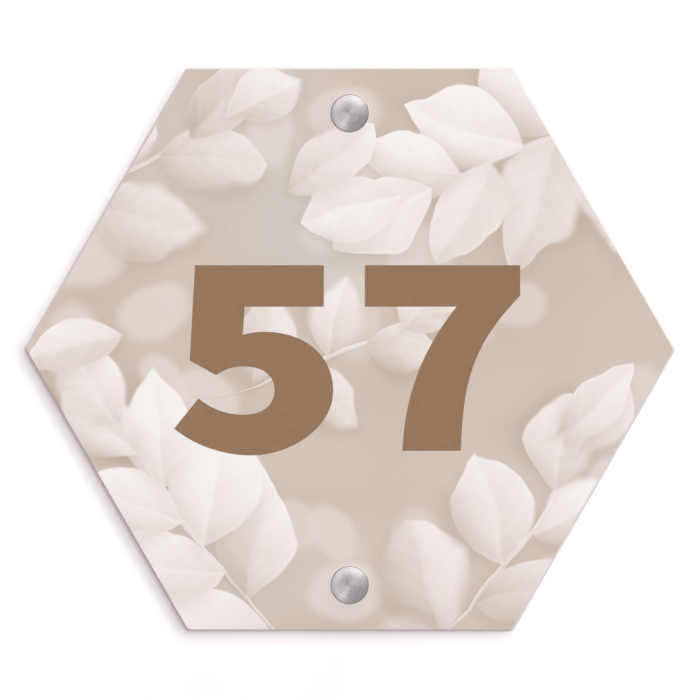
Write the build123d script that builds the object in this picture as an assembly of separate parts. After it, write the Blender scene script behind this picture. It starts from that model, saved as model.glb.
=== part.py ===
import os

from build123d import *

# Plate: a regular hexagon with a flat edge at the top and at the bottom
plate_side = 100.0
plate_thickness = 3.0
plate_corner_radius = 2.0
plate_front_bevel = 0.7  # on the front face
plate_front_bevel_depth = 1.3  # down the cut edge
plate_back_bevel = 0.3
fixing_inset = 14.3  # from the plate's flat edge to the axis of the fixing
hole_clearance = 0.5  # round the stud, where it passes through the plate

# Thread that draws each cap to its barrel, shown as plain cylinders
stud_diameter = 8.0
stud_clearance = 0.1  # between the stud and the barrel's bore
stud_end_bevel = 0.6
stud_end_gap = 2.7  # from the end of the stud to the head of the wall screw

# Cap: the turned head in front of the plate
cap_diameter = 11.5
cap_height = 1.6
cap_dome = 1.0  # how much of the height is a shallow dome
cap_edge_radius = 0.3

# Washers on both faces of the plate
washer_diameter = 10.5
washer_thickness = 0.5
washer_clearance = 0.2  # round the stud

# Barrel: the cup that stands on the door
barrel_diameter = 11.5
barrel_length = 12.0
barrel_floor = 2.5
barrel_edge_bevel = 0.4

# Wall screw, with a countersunk head in the floor of the barrel
screw_head_diameter = 6.0
screw_head_land = 0.3
screw_neck_diameter = 2.2
screw_thread_diameter = 3.0
screw_grip = 22.0  # length in the door
screw_point_length = 3.0
screw_point_diameter = 0.5
screw_hole_clearance = 0.3  # round the thread, in the floor of the barrel
screw_seat_clearance = 0.05  # between the head and its countersink
recess_span = 3.2
recess_width = 0.8
recess_depth = 1.3

# Distances from the door's surface, towards the front
rear_washer_at = barrel_length
plate_at = rear_washer_at + washer_thickness
front_washer_at = plate_at + plate_thickness
cap_at = front_washer_at + washer_thickness
screw_head_top = barrel_floor + screw_head_land
stud_end = screw_head_top + stud_end_gap

# Radii that fit one another
stud_radius = stud_diameter / 2
bore_radius = stud_radius + stud_clearance
head_radius = screw_head_diameter / 2
neck_radius = screw_neck_diameter / 2
thread_radius = screw_thread_diameter / 2
screw_hole_radius = thread_radius + screw_hole_clearance
sink_radius = head_radius + screw_seat_clearance

fixing_rise = plate_side * 3**0.5 / 2 - fixing_inset


# Revolves a half-section of (radius, distance from the door) points into a turned piece
def turned(*points):
    section = make_face(Plane.XZ * Polyline(*points, close=True))
    return revolve(section, Axis.Z)


# Sheet with rounded corners, two holes and bevelled edges
def make_plate():
    outline = RegularPolygon(plate_side, 6)
    outline = fillet(outline.vertices(), plate_corner_radius)
    for rise in (fixing_rise, -fixing_rise):
        outline -= Pos(0, rise) * Circle(stud_radius + hole_clearance)
    sheet = extrude(outline, plate_thickness)
    front = sheet.faces().sort_by(Axis.Z)[-1]
    front_rim = front.outer_wire().edges()
    sheet = chamfer(front_rim, plate_front_bevel, plate_front_bevel_depth, reference=front)
    back_rim = sheet.faces().sort_by(Axis.Z)[0].outer_wire().edges()
    sheet = chamfer(back_rim, plate_back_bevel)
    return Pos(0, 0, plate_at) * sheet


# Domed head and stud, turned from one bar
def make_cap():
    cap_radius = cap_diameter / 2
    cap_front = cap_at + cap_height
    rim = (cap_radius, cap_front - cap_dome)
    outline = Polyline(
        (0, cap_front),
        (0, stud_end),
        (stud_radius - stud_end_bevel, stud_end),
        (stud_radius, stud_end + stud_end_bevel),
        (stud_radius, cap_at),
        (cap_radius, cap_at),
        rim,
    )
    outline += TangentArc((0, cap_front), rim, tangent=(1, 0))
    section = make_face(outline)
    section = fillet(section.vertices().sort_by_distance(rim)[0], cap_edge_radius)
    return revolve(Plane.XZ * section, Axis.Z)


# Flat ring that the stud passes through
def make_washer(at):
    inner = stud_radius + washer_clearance
    outer = washer_diameter / 2
    top = at + washer_thickness
    return turned((inner, at), (outer, at), (outer, top), (inner, top))


# Cup with a countersunk floor and bevelled outer edges
def make_barrel():
    radius = barrel_diameter / 2
    sink_bottom = barrel_floor - (sink_radius - screw_hole_radius)
    return turned(
        (screw_hole_radius, 0),
        (radius - barrel_edge_bevel, 0),
        (radius, barrel_edge_bevel),
        (radius, barrel_length - barrel_edge_bevel),
        (radius - barrel_edge_bevel, barrel_length),
        (bore_radius, barrel_length),
        (bore_radius, barrel_floor),
        (sink_radius, barrel_floor),
        (screw_hole_radius, sink_bottom),
    )


# Countersunk screw with a cross recess; the thread is shown as a plain cylinder from the door's surface on
def make_wall_screw():
    neck_top = barrel_floor - (head_radius - neck_radius)
    screw = turned(
        (0, -screw_grip),
        (screw_point_diameter / 2, -screw_grip),
        (thread_radius, -screw_grip + screw_point_length),
        (thread_radius, 0),
        (neck_radius, 0),
        (neck_radius, neck_top),
        (head_radius, barrel_floor),
        (head_radius, screw_head_top),
        (0, screw_head_top),
    )
    cross = Rectangle(recess_span, recess_width) + Rectangle(recess_width, recess_span)
    recess_floor = screw_head_top - recess_depth
    return screw - extrude(Pos(0, 0, recess_floor) * cross, recess_depth)


# The door's surface is the plane y = 0, the front faces -y, and z points up
def on_door(shape, rise=0.0):
    front = Plane(origin=(0, 0, rise), x_dir=(1, 0, 0), z_dir=(0, -1, 0))
    return front * shape


pieces = {"plate": on_door(make_plate())}
for place, rise in (("upper", fixing_rise), ("lower", -fixing_rise)):
    pieces[f"{place}_cap"] = on_door(make_cap(), rise)
    pieces[f"{place}_front_washer"] = on_door(make_washer(front_washer_at), rise)
    pieces[f"{place}_rear_washer"] = on_door(make_washer(rear_washer_at), rise)
    pieces[f"{place}_barrel"] = on_door(make_barrel(), rise)
    pieces[f"{place}_wall_screw"] = on_door(make_wall_screw(), rise)

os.makedirs("parts", exist_ok=True)
for name, shape in pieces.items():
    export_step(shape, f"parts/{name}.step")
    size = shape.bounding_box().size
    print(f"{name}: {size.X:.2f} x {size.Y:.2f} x {size.Z:.2f} mm, {shape.volume:.1f} mm3")
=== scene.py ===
import math
import random

import bmesh
import bpy
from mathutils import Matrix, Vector
from mathutils.geometry import interpolate_bezier


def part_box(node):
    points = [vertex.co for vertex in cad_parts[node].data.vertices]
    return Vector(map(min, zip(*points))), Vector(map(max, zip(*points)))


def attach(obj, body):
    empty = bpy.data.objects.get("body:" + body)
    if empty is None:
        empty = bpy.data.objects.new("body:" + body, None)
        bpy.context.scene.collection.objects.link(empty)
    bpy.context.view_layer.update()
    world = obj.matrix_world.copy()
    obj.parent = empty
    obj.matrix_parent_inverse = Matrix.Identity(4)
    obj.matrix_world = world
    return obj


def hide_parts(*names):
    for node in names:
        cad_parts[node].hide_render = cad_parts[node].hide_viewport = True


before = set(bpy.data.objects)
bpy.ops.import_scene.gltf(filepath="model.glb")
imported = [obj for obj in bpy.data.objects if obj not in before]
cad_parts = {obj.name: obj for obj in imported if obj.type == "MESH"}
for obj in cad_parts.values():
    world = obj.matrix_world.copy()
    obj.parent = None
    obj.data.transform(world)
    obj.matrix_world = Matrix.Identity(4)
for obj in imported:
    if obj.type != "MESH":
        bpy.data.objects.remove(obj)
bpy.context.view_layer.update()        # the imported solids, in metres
mm = 0.001
sameSpot = 0.001 * mm        # closer than this is the same place
places = ("upper", "lower")
noiseBand = (0.3, 0.7)        # where most levels of a noise lie
inkGloss = 0.2
plateLow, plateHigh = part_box("plate")
capLow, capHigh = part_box("upper_cap")
fixingRise = (capLow.z + capHigh.z) / 2        # both fixings lie on x = 0, this far up and down
print("frame loaded:", len(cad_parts), "nodes")


class Wire:        # a node's output that takes part in sums
    def __init__(self, tree, socket):
        self.tree = tree
        self.socket = socket

    def calc(self, operation, *terms):
        return self.tree.add("ShaderNodeMath", {"operation": operation}, dict(enumerate(terms)))

    def __add__(self, other):
        return self.calc("ADD", self, other)

    def __radd__(self, other):
        return self.calc("ADD", other, self)

    def __sub__(self, other):
        return self.calc("SUBTRACT", self, other)

    def __rsub__(self, other):
        return self.calc("SUBTRACT", other, self)

    def __mul__(self, other):
        return self.calc("MULTIPLY", self, other)

    def __rmul__(self, other):
        return self.calc("MULTIPLY", other, self)

    def __truediv__(self, other):
        return self.calc("DIVIDE", self, other)

    def __rtruediv__(self, other):
        return self.calc("DIVIDE", other, self)

    def __pow__(self, other):
        return self.calc("POWER", self, other)

    def __abs__(self):
        return self.calc("ABSOLUTE", self)

    def most(self, other):
        return self.calc("MAXIMUM", self, other)

    def timesPlus(self, factor, term):
        return self.calc("MULTIPLY_ADD", self, factor, term)


class Tree:        # adds nodes to a finish, a brush or the world
    def __init__(self, nodeTree):
        self.nodes = nodeTree.nodes
        self.links = nodeTree.links

    def add(self, kind, settings=None, sockets=None, output=0):
        node = self.nodes.new(kind)
        for name, value in (settings or {}).items():
            if name == "stops":
                self.setStops(node.color_ramp.elements, value)
            elif name == "curve":
                self.setCurve(node.mapping, value)
            else:
                setattr(node, name, value)
        for key, value in (sockets or {}).items():
            if isinstance(value, Wire):
                self.links.new(value.socket, node.inputs[key])
            else:
                node.inputs[key].default_value = value
        return Wire(self, node.outputs[output]) if node.outputs else None

    def setStops(self, elements, stops):
        elements.remove(elements[-1])
        elements[0].position, elements[0].color = stops[0]
        for place, colour in stops[1:]:
            elements.new(place).color = colour

    def setCurve(self, mapping, points):
        curve = mapping.curves[0]
        curve.points[0].location = points[0]
        curve.points[-1].location = points[-1]
        for point in points[1:-1]:
            curve.points.new(*point)
        mapping.update()

    def mix(self, factor, first, second, blend="MIX"):
        settings = {"data_type": "RGBA", "blend_type": blend}
        return self.add("ShaderNodeMix", settings, {0: factor, 6: first, 7: second}, 2)

    def vec(self, operation, *terms, output=0):
        return self.add("ShaderNodeVectorMath", {"operation": operation}, dict(enumerate(terms)), output)

    def scaled(self, vector, factor):
        return self.add("ShaderNodeVectorMath", {"operation": "SCALE"}, {0: vector, "Scale": factor})

    def split(self, vector):
        parts = self.add("ShaderNodeSeparateXYZ", None, {0: vector}).socket.node.outputs
        return [Wire(self, part) for part in parts]

    def join(self, x, y, z=0.0):
        return self.add("ShaderNodeCombineXYZ", None, {0: x, 1: y, 2: z})

    def smooth(self, value, low, high):        # 0 at low, 1 at high, eased between them
        settings = {"interpolation_type": "SMOOTHSTEP", "clamp": False}
        return self.add("ShaderNodeMapRange", settings, {0: value, 1: low, 2: high})

    def noise(self, spot, scale, detail=2.0, output="Fac", dimensions="3D"):
        sockets = {"Vector": spot, "Scale": scale, "Detail": detail}
        return self.add("ShaderNodeTexNoise", {"noise_dimensions": dimensions}, sockets, output)

    def spotInMm(self):        # place on the piece, in millimetres
        place = self.add("ShaderNodeTexCoord", None, None, "Object")
        return self.scaled(place, 1 / mm)

    def close(self, sockets):        # the surface shader and the output
        surface = self.add("ShaderNodeBsdfPrincipled", None, sockets)
        self.add("ShaderNodeOutputMaterial", None, {"Surface": surface})


def newFinish(name):
    finish = bpy.data.materials.new(name)
    finish.use_nodes = True
    finish.node_tree.nodes.clear()
    return finish, Tree(finish.node_tree)


def tint(red, green, blue):        # a screen colour, 0 to 255, as a node takes it
    def linear(level):
        share = level / 255
        return share / 12.92 if share <= 0.04045 else ((share + 0.055) / 1.055) ** 2.4
    return (linear(red), linear(green), linear(blue), 1.0)


def addPiece(name, shape, finish):        # a finished bmesh becomes a piece of the object
    mesh = bpy.data.meshes.new(name)
    shape.to_mesh(mesh)
    shape.free()
    mesh.materials.append(finish)
    piece = bpy.data.objects.new(name, mesh)
    bpy.context.scene.collection.objects.link(piece)
    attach(piece, "root")
    return piece


def dress(nodeName, finish):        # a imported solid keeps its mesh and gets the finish
    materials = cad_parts[nodeName].data.materials
    materials.clear()
    materials.append(finish)


# Plate: white acrylic, cut and then polished along its edges
acrylicLook = {
    "white": tint(237, 235, 232),
    "shade": tint(230, 228, 225),
    "edge": tint(222, 210, 206),        # darker and warmer on the bevel: painted shade for the dark line along the plate's edge
    "edgeShadeFrom": (1.9, 1.1),        # it begins and is full so far behind the front face, in millimetres
    "cloudScale": 0.05,
    "sawScale": 3.2,        # marks across the cut edge, per millimetre
    "sawRun": 0.04,        # how much less they change from front to back
    "sawDepth": 0.02 * mm,
    "sawStrength": 0.5,
    "polish": (0.24, 0.34),
}


def acrylicFinish(look):
    finish, tree = newFinish("white_acrylic")
    spot = tree.spotInMm()
    x, y, z = tree.split(spot)
    cloud = tree.noise(spot, look["cloudScale"], 3.0)
    marks = tree.noise(tree.join(x, y * look["sawRun"], z), look["sawScale"], 3.0)
    low, high = look["polish"]
    bump = tree.add("ShaderNodeBump", None, {
        "Distance": look["sawDepth"], "Strength": look["sawStrength"], "Height": marks,
    })
    sheet = tree.mix(cloud, look["white"], look["shade"])
    # the bevel takes the darker, warmer colour on all sides alike: painted shade along the plate's edge
    begin, full = (plateLow.y / mm + behind for behind in look["edgeShadeFrom"])
    tree.close({
        "Base Color": tree.mix(tree.smooth(y, begin, full), sheet, look["edge"]),
        "Roughness": low + (high - low) * marks,
        "Normal": bump,
    })
    return finish


dress("plate", acrylicFinish(acrylicLook))
print("plate dressed")

# Picture: sprays of pale leaves on a warm ground, printed over the whole front face
pictureLook = {
    "film": 0.03 * mm,
    "ground": tint(209, 191, 178),
    "washes": (        # colour, scale, and the levels of noise where it begins and is full
        (tint(218, 204, 195), 0.013, 0.35, 0.7),
        (tint(205, 186, 171), 0.018, 0.5, 0.75),
        (tint(209, 203, 195), 0.011, 0.52, 0.8),
    ),
    "leafTones": (
        (0.0, tint(199, 183, 170)),
        (0.3, tint(222, 210, 202)),
        (0.6, tint(236, 227, 223)),
        (1.0, tint(248, 243, 241)),
    ),
    "leafShadow": (0.80, 0.76, 0.73, 1.0),
    "blurDeep": tint(214, 200, 190),
    "blurPale": tint(240, 232, 229),
    "lightFrom": 55,        # degrees above the right
    "gleam": 0.38,        # how much paler the lit side of a leaf is
    "drift": ((0.028, 7.0), (0.11, 1.5)),        # scale and reach of the waves that bend the outlines
    "wave": (0.07, 0.6),        # scale and height of the waves along an edge
    "haze": (0.035, 0.4, 0.7),        # scale, and the levels of noise between found and lost edges
    "hazeRange": (0.5, 3.5),        # times the softness of the edge
    "seed": 5,
    "grain": 0.4,
    "roughness": (0.46, 0.56),
}

# One leaf: lengths are shares of the leaf's length or of its half width, the rest are shares of its light
leafDetail = {
    "veins": (0.3, 44.0),        # how far they sweep to the tip, and how close they lie
    "veinRipple": 0.37,        # a second, slower set
    "veinWave": 6.0,
    "veinLight": 0.02,
    "foldAt": (-0.14, 0.06),        # where one half turns to the light
    "foldLight": (0.1, 0.26),
    "rib": (0.08, 0.14),        # half width and light of the rib in the middle
    "rim": (0.2, 0.1),        # width and light of the rim
    "root": (0.8, 0.35),        # length and depth of the shade at the stem
    "shadowAt": (-0.5, 0.12),
    "shadow": (0.5, 1.6, 0.5),        # share on level ground, gain away from the light, and strength
    "lostAt": (-0.06, -0.42),        # the dark side melts into what lies under it
    "lost": 0.8,
}

# One spray: ranges are drawn from, and the last leaf goes straight on from the stem
sprayHabit = {
    "stemWidth": 0.9,        # half, in millimetres
    "bareStem": 0.15,        # share of the stem below the first leaf
    "spread": (46, 64),        # degrees between the stem and its first leaves
    "shrink": 0.3,        # how much shorter the last leaf is
    "reach": (0.92, 1.08),
    "width": (0.29, 0.37),        # half, as a share of the length
    "bend": (-0.35, 0.35),
    "tone": (-0.12, 0.08),
}

# Share of a leaf's half width along its length; below 0 lies outside it
leafOutline = (
    (-0.5, -1.4), (0.0, 0.0), (0.08, 0.32), (0.22, 0.72), (0.38, 0.96), (0.5, 1.0),
    (0.66, 0.88), (0.82, 0.56), (0.93, 0.24), (1.0, 0.0), (1.5, -1.4),
)
placeFrom, placeSpan = -0.5, 2.0        # what the square of a curve node stands for
widthFrom, widthSpan = -1.5, 3.0

# Places in millimetres from the middle of the plate, to the right and up; the furthest come first
farLook = {"leaves": 5, "soft": 0.6, "tone": 0.62}
farSprays = (
    {"foot": (-106, 24), "turn": -22, "length": 62, "sag": -8, "reach": 36, "cover": 0.7},
    {"foot": (-26, 36), "turn": -24, "length": 66, "sag": 8, "reach": 36, "cover": 0.6},
    {"foot": (106, 8), "turn": 238, "length": 56, "sag": 8, "reach": 32, "cover": 0.7},
    {"foot": (40, -86), "turn": 158, "length": 54, "sag": -6, "reach": 32, "cover": 0.65},
    {"foot": (-40, 92), "turn": -32, "length": 54, "sag": -6, "reach": 30, "cover": 0.6},
)
middleLook = {"leaves": 6, "soft": 0.13, "tone": 0.66, "cover": 0.94}
nearLook = {"leaves": 8, "soft": 0.06, "tone": 0.77, "cover": 1.0}
sprays = (
    {**middleLook, "foot": (-40, -14), "turn": 14, "length": 70, "sag": 8, "reach": 30},
    {**middleLook, "foot": (22, -96), "turn": 48, "length": 78, "sag": 8, "reach": 40},
    {**middleLook, "foot": (-98, 28), "turn": 44, "length": 74, "sag": -10, "reach": 42},
    {**nearLook, "foot": (-14, -96), "turn": 136, "length": 90, "sag": -12, "reach": 46},
    {**nearLook, "foot": (96, 84), "turn": 212, "length": 90, "sag": -12, "reach": 46},
)
looseLook = {"tone": 0.80, "cover": 1.0}
looseLeaves = (
    {**looseLook, "base": (-20, 48), "tip": (10, 66), "width": 9, "bend": 0.5, "soft": 0.08},
    {**looseLook, "base": (-70, 6), "tip": (-98, -8), "width": 8, "bend": -0.5, "soft": 0.12},
    {**looseLook, "base": (62, -28), "tip": (88, -8), "width": 8, "bend": 0.5, "soft": 0.12},
)


def makeBrush(name, numbers, colours=()):        # takes the colour under it and gives the one over it
    group = bpy.data.node_groups.new(name, "ShaderNodeTree")
    kinds = {"under": "NodeSocketColor", **dict.fromkeys(numbers, "NodeSocketFloat")}
    kinds.update(dict.fromkeys(colours, "NodeSocketColor"))
    for label, kind in kinds.items():
        group.interface.new_socket(name=label, in_out="INPUT", socket_type=kind)
    group.interface.new_socket(name="paint", in_out="OUTPUT", socket_type="NodeSocketColor")
    given = group.nodes.new("NodeGroupInput").outputs
    tree = Tree(group)        # plain numbers only: vectors would fill the renderer's memory for one shader
    return group, tree, {label: Wire(tree, given[label]) for label in kinds}


placeLabels = ("x", "z", "ux", "uz", "u0", "vx", "vz", "v0")
leafLabels = ("wave", "haze", "bend", "soft", "tone", "across", "along", "cover", "fold", "seed")


def leafPlace(given):        # along the leaf and across it
    x, z = given["x"], given["z"]
    u = x.timesPlus(given["ux"], z.timesPlus(given["uz"], given["u0"]))
    v = x.timesPlus(given["vx"], z.timesPlus(given["vz"], given["v0"]))
    return u, v


def makeLeafBrush(look, detail):
    group, tree, given = makeBrush("leaf_brush", placeLabels + leafLabels)
    u, v = leafPlace(given)
    v = v - given["bend"] * (u * u)
    off = abs(v)
    curve = [
        ((place - placeFrom) / placeSpan, (width - widthFrom) / widthSpan) for place, width in leafOutline
    ]
    inCurve = u.timesPlus(1 / placeSpan, -placeFrom / placeSpan)
    width = tree.add("ShaderNodeFloatCurve", {"curve": curve}, {"Value": inCurve})
    edge = width.timesPlus(widthSpan, widthFrom) - off + given["wave"] * u        # depth inside the leaf
    sweep, count = detail["veins"]
    vein = (u - off * sweep).timesPlus(count, given["seed"] + given["wave"] * detail["veinWave"])
    fine = vein.calc("SINE", vein) + vein.calc("SINE", vein * detail["veinRipple"])
    gleam = given["across"] * v + given["along"] * (u - 0.5)
    crest = tree.smooth(v, *detail["foldAt"]) * given["fold"]
    ribWidth, ribLight = detail["rib"]
    rib = tree.smooth(off, ribWidth, 0.0) * u.timesPlus(-ribLight, ribLight)
    rimWidth, rimLight = detail["rim"]
    rim = tree.smooth(edge, rimWidth, 0.0) * rimLight
    rootLength, rootDepth = detail["root"]
    root = u.timesPlus(-1 / rootLength, 1.0).most(0.0)
    light = given["tone"] + gleam + detail["veinLight"] * fine + crest + rib
    light = light - rootDepth * (root * root) + rim
    colour = tree.add("ShaderNodeValToRGB", {"stops": look["leafTones"]}, {0: light})
    level, gain, strength = detail["shadow"]
    shadow = tree.smooth(edge, *detail["shadowAt"]) * gleam.timesPlus(-gain, level).most(0.0) * strength
    under = tree.mix(shadow, given["under"], look["leafShadow"], "MULTIPLY")
    lost = tree.smooth(gleam, *detail["lostAt"]).timesPlus(-detail["lost"], 1.0)
    shown = tree.smooth(edge, 0.0, given["soft"] * given["haze"]) * given["cover"] * lost
    painted = tree.mix(shown, under, colour)
    tree.add("NodeGroupOutput", None, {"paint": painted})
    return group


def makeBlurBrush():        # a leaf out of focus, an oval that fades outwards
    group, tree, given = makeBrush("blur_brush", placeLabels + ("soft", "cover"), ("pale",))
    u, v = leafPlace(given)
    inside = tree.smooth(u.timesPlus(u, v * v), 1.0, given["soft"])
    painted = tree.mix(inside * given["cover"], given["under"], given["pale"])
    tree.add("NodeGroupOutput", None, {"paint": painted})
    return group


def placeSockets(start, run, width):        # the sums that give u along the run and v across it
    along = run / run.length_squared
    across = Vector((-run.y, run.x)) / run.length / width
    return {
        "ux": along.x, "uz": along.y, "u0": -along @ start,
        "vx": across.x, "vz": across.y, "v0": -across @ start,
    }


def layLeaf(tree, brush, look, under, spot, leaf, extra):
    base, tip = Vector(leaf["base"]), Vector(leaf["tip"])
    run = tip - base
    light = math.radians(look["lightFrom"]) - math.atan2(run.y, run.x)
    sockets = {
        "under": under, **spot, **placeSockets(base, run, leaf["width"]),
        "bend": leaf["bend"], "soft": leaf["soft"], "tone": leaf["tone"], "cover": leaf["cover"],
        "across": look["gleam"] * math.sin(light), "along": look["gleam"] * math.cos(light), **extra,
    }
    return tree.add("ShaderNodeGroup", {"node_tree": brush}, sockets)


def layBlur(tree, brush, look, under, spot, leaf):
    base, tip = Vector(leaf["base"]), Vector(leaf["tip"])
    pale = [low + (high - low) * leaf["tone"] for low, high in zip(look["blurDeep"], look["blurPale"])]
    sockets = {
        "under": under, **spot, **placeSockets((tip + base) / 2, (tip - base) / 2, leaf["width"]),
        "soft": 1 - leaf["soft"], "cover": leaf["cover"], "pale": pale,
    }
    return tree.add("ShaderNodeGroup", {"node_tree": brush}, sockets)


def openSpray(habit, spray, dice):        # a bending stem, with leaves on its two sides in turn
    foot, turn = Vector(spray["foot"]), math.radians(spray["turn"])
    run = Vector((math.cos(turn), math.sin(turn))) * spray["length"]
    side = Vector((-math.sin(turn), math.cos(turn))) * spray["sag"]
    width = habit["stemWidth"]
    pieces = [{**spray, "base": foot, "tip": foot + run, "width": width, "bend": spray["sag"] / width}]
    for number in range(spray["leaves"]):
        share = number / (spray["leaves"] - 1)
        place = habit["bareStem"] + (1 - habit["bareStem"]) * share
        heading = run + side * 2 * place
        spread = (-1) ** number * (1 - share ** 2) * dice.uniform(*habit["spread"])
        angle = math.atan2(heading.y, heading.x) + math.radians(spread)
        reach = spray["reach"] * (1 - habit["shrink"] * share) * dice.uniform(*habit["reach"])
        base = foot + run * place + side * place ** 2
        pieces.append({
            **spray, "base": base, "tip": base + Vector((math.cos(angle), math.sin(angle))) * reach,
            "width": reach * dice.uniform(*habit["width"]), "bend": dice.uniform(*habit["bend"]),
            "tone": spray["tone"] + dice.uniform(*habit["tone"]),
        })
    return pieces


def pictureFinish(look, detail, habit):
    finish, tree = newFinish("printed_picture")
    x, y, z = tree.split(tree.spotInMm())
    flat = tree.join(x, z)

    def flatNoise(spot, scale, output="Fac"):
        return tree.noise(spot, scale, 1.0, output, "2D")

    drifted = flat
    for scale, reach in look["drift"]:
        wander = tree.vec("SUBTRACT", flatNoise(flat, scale, "Color"), (0.5, 0.5, 0.5))
        drifted = tree.vec("ADD", drifted, tree.vec("MULTIPLY", wander, (reach, reach, 0)))
    scale, height = look["wave"]
    wave = (flatNoise(flat, scale) - 0.5) * height
    scale, found, lost = look["haze"]
    low, high = look["hazeRange"]
    haze = tree.smooth(flatNoise(flat, scale), found, lost) * (high - low) + low
    paint = look["ground"]
    for colour, scale, begin, full in look["washes"]:
        paint = tree.mix(tree.smooth(flatNoise(drifted, scale), begin, full), paint, colour)
    leafBrush, blurBrush = makeLeafBrush(look, detail), makeBlurBrush()
    dice = random.Random(look["seed"])
    sx, sz, depth = tree.split(drifted)
    spot = {"x": sx, "z": sz}
    for spray in farSprays:
        for leaf in openSpray(habit, {**farLook, **spray}, dice)[1:]:        # no stem
            paint = layBlur(tree, blurBrush, look, paint, spot, leaf)
    leaves = [leaf for spray in sprays for leaf in openSpray(habit, spray, dice)]
    for leaf in (*leaves, *looseLeaves):
        fold = dice.choice((-1, 1)) * dice.uniform(*detail["foldLight"])
        extra = {"wave": wave, "haze": haze, "fold": fold, "seed": dice.uniform(0, 90)}
        paint = layLeaf(tree, leafBrush, look, paint, spot, leaf, extra)
    low, high = look["roughness"]
    tree.close({
        "Base Color": paint,
        "Roughness": low + (high - low) * tree.noise(flat, look["grain"], 2.0, "Fac", "2D"),
        "Specular IOR Level": inkGloss,
    })
    return finish


def raiseFilm(shape, film):        # flat faces become closed sheets of print
    made = bmesh.ops.extrude_face_region(shape, geom=shape.faces[:])
    raised = [part for part in made["geom"] if isinstance(part, bmesh.types.BMVert)]
    bmesh.ops.translate(shape, verts=raised, vec=(0, -film, 0))
    bmesh.ops.recalc_face_normals(shape, faces=shape.faces[:])


def frontFilm(look):        # the plate's own front face
    shape = bmesh.new()
    shape.from_mesh(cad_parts["plate"].data)
    behind = [face for face in shape.faces if max(v.co.y for v in face.verts) > plateLow.y + sameSpot]
    bmesh.ops.delete(shape, geom=behind, context="FACES")
    bmesh.ops.remove_doubles(shape, verts=shape.verts[:], dist=sameSpot)
    raiseFilm(shape, look["film"])
    layer = shape.loops.layers.uv.new("OFBake")
    span = plateHigh.x - plateLow.x
    backSize, backCorner = 0.1, Vector((0.02, 0.89))        # the back lies small above the front
    for face in shape.faces:
        hidden = face.normal.y > 0.5
        for loop in face.loops:
            place = Vector((loop.vert.co.x - plateLow.x, loop.vert.co.z - plateLow.z)) / span
            loop[layer].uv = place * backSize + backCorner if hidden else place
    return shape


picture = pictureFinish(pictureLook, leafDetail, sprayHabit)
addPiece("printed_picture", frontFilm(pictureLook), picture)
print("picture printed")

# Number: plain figures over the picture, in millimetres from the middle of the plate
numberLook = {
    "film": 0.02 * mm,
    "steps": 14,        # points on each round stretch
    "ink": tint(151, 119, 92),
    "inkDeep": tint(147, 115, 89),
    "mottle": 0.35,
    "polish": (0.44, 0.54),
}
fiveOutline = (        # a point ends a straight stretch; three end a round one
    ((-47.5, 25.7),), ((-8.0, 25.7),), ((-8.0, 13.0),), ((-32.3, 13.0),), ((-32.8, 4.4),),
    ((-30.3, 5.1), (-27.9, 5.3), (-26.0, 5.3)), ((-14.4, 5.3), (-5.1, -1.5), (-5.1, -12.8)),
    ((-5.1, -24.2), (-18.4, -32.6), (-30.0, -32.6)), ((-39.2, -32.6), (-47.8, -29.4), (-53.9, -24.4)),
    ((-46.4, -15.1),), ((-42.3, -18.5), (-37.7, -20.1), (-32.7, -20.1)),
    ((-26.6, -20.1), (-23.1, -17.1), (-23.1, -12.6)), ((-23.1, -8.1), (-26.6, -5.3), (-32.7, -5.3)),
    ((-36.1, -5.3), (-38.6, -6.3), (-41.0, -8.0)), ((-49.1, -3.5),),
)
sevenOutline = (
    ((4.6, 25.7),), ((52.2, 25.7),), ((52.2, 16.4),), ((38.0, 1.6), (34.7, -8.9), (34.0, -31.2)),
    ((16.1, -31.2),), ((16.7, -15.0), (21.8, -0.6), (32.7, 13.0)), ((4.6, 13.0),),
)


def outlinePoints(outline, steps):
    points = []
    for stretch in outline:
        if len(stretch) == 3:
            ends = [Vector(points[-1]), *map(Vector, stretch)]
            points += [tuple(p.xy) for p in interpolate_bezier(*[e.to_3d() for e in ends], steps + 1)[1:]]
        else:
            points.append(stretch[0])
    return points


def inkFinish(look):
    finish, tree = newFinish("brown_ink")
    spot = tree.spotInMm()
    mottle = tree.noise(spot, look["mottle"], 3.0)
    low, high = look["polish"]
    tree.close({
        "Base Color": tree.mix(tree.smooth(mottle, *noiseBand), look["ink"], look["inkDeep"]),
        "Roughness": low + (high - low) * mottle,
        "Specular IOR Level": inkGloss,
    })
    return finish


def numberFilm(look):
    shape = bmesh.new()
    under = plateLow.y - pictureLook["film"]
    for outline in (fiveOutline, sevenOutline):
        points = outlinePoints(outline, look["steps"])
        shape.faces.new([shape.verts.new((x * mm, under, z * mm)) for x, z in points])
    raiseFilm(shape, look["film"])
    return shape


addPiece("printed_number", numberFilm(numberLook), inkFinish(numberLook))
print("number printed")

# Caps and barrels: turned steel with fine marks round the axis
turnedLook = {
    "steel": tint(227, 221, 225),
    "steelDeep": tint(222, 216, 220),
    "rim": tint(104, 98, 100),        # darker on the broken edges: painted shade for the dark outline round the cap
    "mark": 0.012,        # width of one turning mark, in millimetres
    "lean": 0.12,        # how far the sides of every mark lean, either way
    "tilt": 0.16,        # and how far they differ
    "band": 0.9,
    "domeRadius": 17.0,
    "pole": (0.9, 0.7),        # within it the mesh has no good normal, as all its triangles meet there
    "paintedRimFrom": (0.9, 0.8),        # a broken edge faces the front less than this
    "paintedRimTo": (0.1, 0.3),        # and more than this
    "polish": (0.2, 0.26),
}


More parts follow.
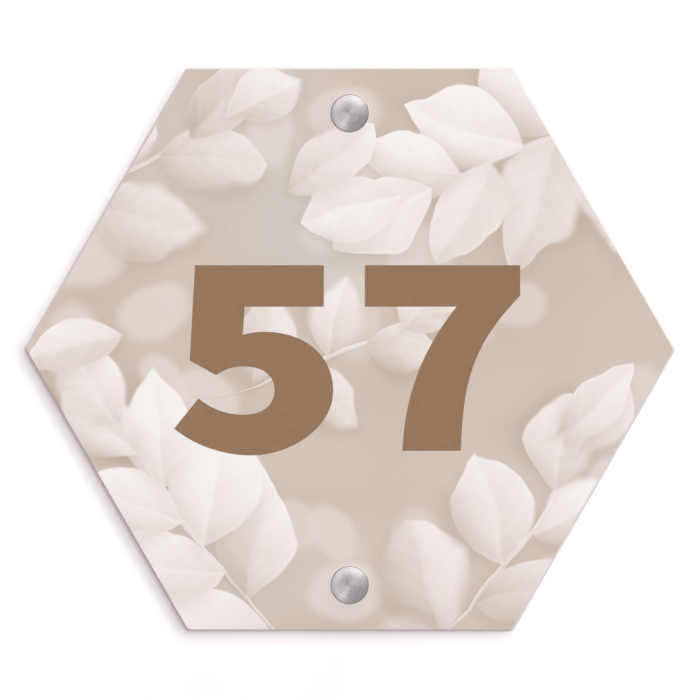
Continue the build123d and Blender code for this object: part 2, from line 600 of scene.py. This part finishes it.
def turnedFinish(name, look):
    finish, tree = newFinish(name)
    spot = tree.spotInMm()
    x, y, z = tree.split(spot)
    above = z.calc("SIGN", z)
    rise = abs(z) - fixingRise / mm
    square = x * x + rise * rise
    radius = square.calc("SQRT", square)
    outward = tree.vec("NORMALIZE", tree.join(x, 0.0, rise * above))
    around = tree.vec("CROSS_PRODUCT", outward, (0, 1, 0))
    shape = tree.add("ShaderNodeNewGeometry", None, None, "Normal")
    dome = tree.vec("ADD", (0, -1, 0), tree.scaled(outward, radius / look["domeRadius"]))
    middle = tree.smooth(radius, *look["pole"])
    normal = tree.vec("ADD", shape, tree.scaled(tree.vec("SUBTRACT", dome, shape), middle))
    uphill = tree.vec("CROSS_PRODUCT", normal, around)        # across the marks
    run = radius + y
    marks = run / look["mark"]
    number = marks.calc("FLOOR", marks)
    toss = tree.add("ShaderNodeTexWhiteNoise", {"noise_dimensions": "1D"}, {"W": number}) - 0.5
    band = tree.noise(tree.join(run, 0.0), look["band"], 3.0, "Fac", "2D")
    slope = toss.calc("SIGN", toss) * look["lean"] + toss * look["tilt"]
    facing = abs(tree.split(shape)[1])
    # the broken edges turn dark: painted shade standing in for the cap's dark outline
    rim = tree.smooth(facing, *look["paintedRimFrom"]) * tree.smooth(facing, *look["paintedRimTo"])
    steel = tree.mix(tree.smooth(band, *noiseBand), look["steel"], look["steelDeep"])
    low, high = look["polish"]
    tree.close({
        "Base Color": tree.mix(rim, steel, look["rim"]),
        "Metallic": 1.0,
        "Roughness": low + (high - low) * band,
        "Normal": tree.vec("NORMALIZE", tree.vec("ADD", normal, tree.scaled(uphill, slope))),
    })
    return finish


turned = turnedFinish("turned_steel", turnedLook)
for place in places:
    dress(place + "_cap", turned)
    dress(place + "_barrel", turned)
print("caps and barrels dressed")

# Washers: milky soft plastic
washerLook = {
    "milk": tint(228, 228, 225),
    "milkDeep": tint(214, 214, 210),
    "grain": 1.6,
    "grainDepth": 0.02 * mm,
    "grainStrength": 0.6,
    "polish": (0.45, 0.65),
}


def washerFinish(look):
    finish, tree = newFinish("milky_plastic")
    grain = tree.noise(tree.spotInMm(), look["grain"], 4.0)
    bump = tree.add("ShaderNodeBump", None, {
        "Distance": look["grainDepth"], "Strength": look["grainStrength"], "Height": grain,
    })
    low, high = look["polish"]
    tree.close({
        "Base Color": tree.mix(tree.smooth(grain, *noiseBand), look["milk"], look["milkDeep"]),
        "Roughness": low + (high - low) * grain,
        "Normal": bump,
    })
    return finish


milky = washerFinish(washerLook)
for place in places:
    dress(place + "_front_washer", milky)
    dress(place + "_rear_washer", milky)
print("washers dressed")

# Wall screws: countersunk, with a rolled thread and a cross recess
screwLook = {
    "headLand": 0.3 * mm,
    "floor": 2.5 * mm,        # where the cone of the head begins, from the door
    "neck": 1.1 * mm,
    "thread": 1.5 * mm,
    "core": 1.02 * mm,
    "pitch": 1.35 * mm,
    "crest": 0.30,        # share of the pitch that the thread's foot takes
    "pointLength": 3.0 * mm,
    "pointRadius": 0.25 * mm,
    "pointThread": (0.02, 1.6),        # its share at the very tip, and how fast it grows from there
    "recess": (3.2 * mm, 0.8 * mm, 1.3 * mm),        # span, width and depth
    "recessFoot": 0.72,        # how much narrower it is at the bottom
    "recessOver": 0.2 * mm,        # how far the cutter stands out of the head
    "columns": 48,
    "rowsPerTurn": 18,
    "sharpFrom": 35,        # degrees
    "zinc": tint(214, 213, 207),
    "zincDeep": tint(188, 188, 186),
    "cloud": 0.7,
    "polish": (0.22, 0.42),
}


def zincFinish(look):
    finish, tree = newFinish("bright_zinc")
    spot = tree.spotInMm()
    cloud = tree.noise(spot, look["cloud"], 4.0)
    low, high = look["polish"]
    tree.close({
        "Base Color": tree.mix(tree.smooth(cloud, *noiseBand), look["zinc"], look["zincDeep"]),
        "Metallic": 1.0,
        "Roughness": low + (high - low) * cloud,
    })
    return finish


def screwShape(look, low, high):
    middle = (low.z + high.z) / 2
    head = (high.x - low.x) / 2
    grip = high.y
    coneEnd = -(look["floor"] - (head - look["neck"]))
    landEnd = low.y + look["headLand"]
    profile = [(low.y, head), (landEnd, head), (coneEnd, look["neck"]), (0.0, look["core"])]
    rowCount = round(grip / look["pitch"] * look["rowsPerTurn"])
    tipShare, tipGain = look["pointThread"]

    def threadRadius(y, share):        # the thread's foot and flanks on a core that tapers to the point
        phase = (y / look["pitch"] - share) % 1.0
        ridge = max(0.0, 1 - abs(phase - 0.5) / (look["crest"] / 2))
        taper = min(1.0, (grip - y) / look["pointLength"])
        grow = min(1.0, y / look["pitch"])
        core = look["pointRadius"] + (look["core"] - look["pointRadius"]) * taper
        fade = min(1.0, taper * tipGain + tipShare)
        return core + (look["thread"] - look["core"]) * ridge * grow * fade

    shape = bmesh.new()
    rows = []

    def addRow(y, radiusAt):
        row = []
        for column in range(look["columns"]):
            share = column / look["columns"]
            angle = 2 * math.pi * share
            radius = radiusAt(share)
            place = (radius * math.cos(angle), y, middle + radius * math.sin(angle))
            row.append(shape.verts.new(place))
        rows.append(row)

    for y, radius in profile:
        addRow(y, lambda share: radius)
    for number in range(1, rowCount + 1):
        y = grip * number / rowCount
        addRow(y, lambda share: threadRadius(y, share))
    for first, second in zip(rows, rows[1:]):
        for column in range(look["columns"]):
            after = (column + 1) % look["columns"]
            shape.faces.new((first[column], first[after], second[after], second[column]))
    shape.faces.new(rows[0])
    shape.faces.new(rows[-1])
    bmesh.ops.recalc_face_normals(shape, faces=shape.faces[:])
    return shape


def recessCutter(look, low, middle):        # a cross that narrows downwards
    span, width, depth = look["recess"]
    a, b = width / 2, span / 2
    arm = [(a, a), (a, b), (-a, b)]
    plan = []
    for quarter in range(4):
        plan += arm
        arm = [(-z, x) for x, z in arm]
    shape = bmesh.new()
    top = [shape.verts.new((x, low.y - look["recessOver"], middle + z)) for x, z in plan]
    narrow = look["recessFoot"]
    foot = [shape.verts.new((x * narrow, low.y + depth, middle + z * narrow)) for x, z in plan]
    shape.faces.new(top)
    shape.faces.new(foot)
    for number in range(len(plan)):
        after = (number + 1) % len(plan)
        shape.faces.new((top[number], top[after], foot[after], foot[number]))
    bmesh.ops.recalc_face_normals(shape, faces=shape.faces[:])
    return shape


def cutRecess(shape, cutter):
    bodies = []
    for part in (shape, cutter):
        mesh = bpy.data.meshes.new("cut")
        part.to_mesh(mesh)
        part.free()
        bodies.append(bpy.data.objects.new("cut", mesh))
        bpy.context.scene.collection.objects.link(bodies[-1])
    change = bodies[0].modifiers.new("recess", "BOOLEAN")
    change.operation, change.solver, change.object = "DIFFERENCE", "EXACT", bodies[1]
    seen = bodies[0].evaluated_get(bpy.context.evaluated_depsgraph_get())
    result = bmesh.new()
    result.from_mesh(seen.to_mesh())
    for body in bodies:
        bpy.data.meshes.remove(body.data)
    return result


zinc = zincFinish(screwLook)
for place in places:
    node = place + "_wall_screw"
    low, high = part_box(node)
    cut = cutRecess(screwShape(screwLook, low, high), recessCutter(screwLook, low, (low.z + high.z) / 2))
    screw = addPiece(place + "_threaded_screw", cut, zinc)
    screw.data.shade_smooth()
    screw.data.set_sharp_from_angle(angle=math.radians(screwLook["sharpFrom"]))
    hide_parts(node)
print("screws threaded")

# Stage: a white wall behind the plate, soft light from the upper right
stageLook = {
    "wallSide": 2.4,
    "wallAt": -0.05 * mm,        # the bases of the barrels stand just through it
    "wallWhite": tint(243, 243, 243),
    "wallShade": tint(242, 242, 242),
    "wallBounce": tint(180, 180, 180),        # as the plate sees it, to keep shadow and bevel dark
    "wallGlow": (0.187, 0.139, 0.154, 1.0),        # for the camera and the metal; it warms the shadow
    "wallGrain": 0.03,
    "ambient": 0.273,        # it leans to the upper right
    "ambientTurn": 47,
    "lamps": {        # degrees above the right, degrees off the front, spread, strength
        "key": (47, 12, 24, 0.58),        # one of three side by side, for a wide soft light
        "key_above": (80, 12, 24, 0.447),
        "key_right": (10, 12, 24, 0.78),
        "fill": (42, 4.5, 2, 0.36),        # for the dark line of shadow by the edge
        "rim": (77, 88, 8, 1.92),        # along the wall, for the bevels
        "rim_right": (-15, 88, 8, 0.81),
        "rear": (131, 153, 60, 1.25),        # from behind, through the wall
    },
    "room": 0.386,        # what metal sees, with soft boxes in front
    "horizon": 0.3,        # it darkens towards its sides, and is darkest all round the wall
    "roomDark": 0.2,        # share of its level there
    "boxes": (        # degrees above the right, degrees off the front, half width, level
        (90, 15, 16, 0.52),
        (60, 60, 32, 1.00),
        (90, 60, 32, 0.72),
        (120, 60, 32, 0.52),
        (150, 60, 32, 0.62),
        (30, 45, 32, 0.43),
        (210, 30, 32, 0.49),
        (240, 45, 16, 0.69),
        (44, 92, 26, 6.0),        # on the rim alone
        (120, 145, 30, 1.2),        # behind, for the screws
        (300, 120, 24, 0.8),
    ),
}


def wallFinish(look):        # seen from the front only, so that the back of the plate can be looked at
    finish, tree = newFinish("white_wall")
    path = {label: tree.add("ShaderNodeLightPath", None, None, label) for label in
            ("Is Camera Ray", "Is Glossy Ray", "Is Transmission Ray", "Is Diffuse Ray")}
    shown = path["Is Camera Ray"] + path["Is Glossy Ray"] + path["Is Transmission Ray"]
    grain = tree.noise(tree.spotInMm(), look["wallGrain"], 2.0)
    paint = tree.mix(grain, look["wallWhite"], look["wallShade"])
    paint = tree.mix(path["Is Diffuse Ray"], paint, look["wallBounce"])
    matt = tree.add("ShaderNodeBsdfDiffuse", None, {"Color": paint})
    glow = tree.add("ShaderNodeEmission", None, {"Color": look["wallGlow"], "Strength": shown})
    front = tree.add("ShaderNodeAddShader", None, {0: matt, 1: glow})
    back = tree.add("ShaderNodeNewGeometry", None, None, "Backfacing")
    clear = tree.add("ShaderNodeBsdfTransparent")
    surface = tree.add("ShaderNodeMixShader", None, {0: back, 1: front, 2: clear})
    tree.add("ShaderNodeOutputMaterial", None, {"Surface": surface})
    return finish


def addWall(look):
    half = look["wallSide"] / 2
    shape = bmesh.new()
    corners = [shape.verts.new((x, look["wallAt"], z)) for x, z in
               ((-half, -half), (half, -half), (half, half), (-half, half))]
    shape.faces.new(corners)
    mesh = bpy.data.meshes.new("wall")
    shape.to_mesh(mesh)
    shape.free()
    mesh.materials.append(wallFinish(look))
    wall = bpy.data.objects.new("wall", mesh)
    wall.visible_shadow = False
    bpy.context.scene.collection.objects.link(wall)


def addSun(name, towards, spread, strength):        # towards points from the object to the light
    light = bpy.data.lights.new(name, "SUN")
    light.angle = math.radians(spread)
    light.energy = strength
    lamp = bpy.data.objects.new(name, light)
    lamp.rotation_mode = "QUATERNION"
    lamp.rotation_quaternion = (-towards).to_track_quat("-Z", "Y")
    lamp.visible_glossy = False        # gloss shows the room and its soft boxes instead
    bpy.context.scene.collection.objects.link(lamp)


def fromFront(turn, off):        # a direction off the front, in degrees
    turn, off = math.radians(turn), math.radians(off)
    return Vector((math.sin(off) * math.cos(turn), -math.cos(off), math.sin(off) * math.sin(turn)))


def lightRoom(look):
    world = bpy.data.worlds.new("studio")
    bpy.context.scene.world = world
    world.use_nodes = True
    world.node_tree.nodes.clear()
    tree = Tree(world.node_tree)
    camera = tree.add("ShaderNodeLightPath", None, None, "Is Camera Ray")
    glossy = tree.add("ShaderNodeLightPath", None, None, "Is Glossy Ray")
    through = tree.add("ShaderNodeLightPath", None, None, "Is Transmission Ray")
    way = tree.add("ShaderNodeTexCoord", None, None, "Generated")
    dark = look["roomDark"]
    room = (dark + (1 - dark) * tree.smooth(abs(tree.split(way)[1]), 0.0, look["horizon"])) * look["room"]
    for turn, off, half, strength in look["boxes"]:
        near = tree.vec("DOT_PRODUCT", way, fromFront(turn, off), output="Value")
        room = room + tree.smooth(near, math.cos(math.radians(half)), 1.0) * strength
    seen = camera + through
    shown = seen.calc("MINIMUM", seen, 1.0)
    lean = tree.vec("DOT_PRODUCT", way, fromFront(look["ambientTurn"], 90), output="Value")
    soft = (1 + lean) * look["ambient"]
    level = shown + (1 - shown) * (glossy * room + (1 - glossy) * soft)
    surface = tree.add("ShaderNodeBackground", None, {"Color": (1, 1, 1, 1), "Strength": level})
    tree.add("ShaderNodeOutputWorld", None, {"Surface": surface})
    for name, (turn, off, spread, strength) in look["lamps"].items():
        addSun(name, fromFront(turn, off), spread, strength)


addWall(stageLook)
lightRoom(stageLook)
print("stage lit")

# Camera: straight at the plate, from a distance
cameraLook = {
    "away": 2700 * mm,        # from the plate's front face
    "seen": 214.6 * mm,        # width of the picture there
    "aim": (0.03 * mm, -0.28 * mm),
    "sensor": 36,
}


def addCamera(look):
    data = bpy.data.cameras.new("camera")
    data.sensor_width = look["sensor"]
    data.lens = data.sensor_width * look["away"] / look["seen"]
    camera = bpy.data.objects.new("camera", data)
    x, z = look["aim"]
    camera.location = (x, plateLow.y - look["away"], z)
    camera.rotation_euler = (math.radians(90), 0, 0)
    bpy.context.scene.collection.objects.link(camera)
    bpy.context.scene.camera = camera


addCamera(cameraLook)
bpy.context.scene.view_settings.view_transform = "Standard"
print("camera set")
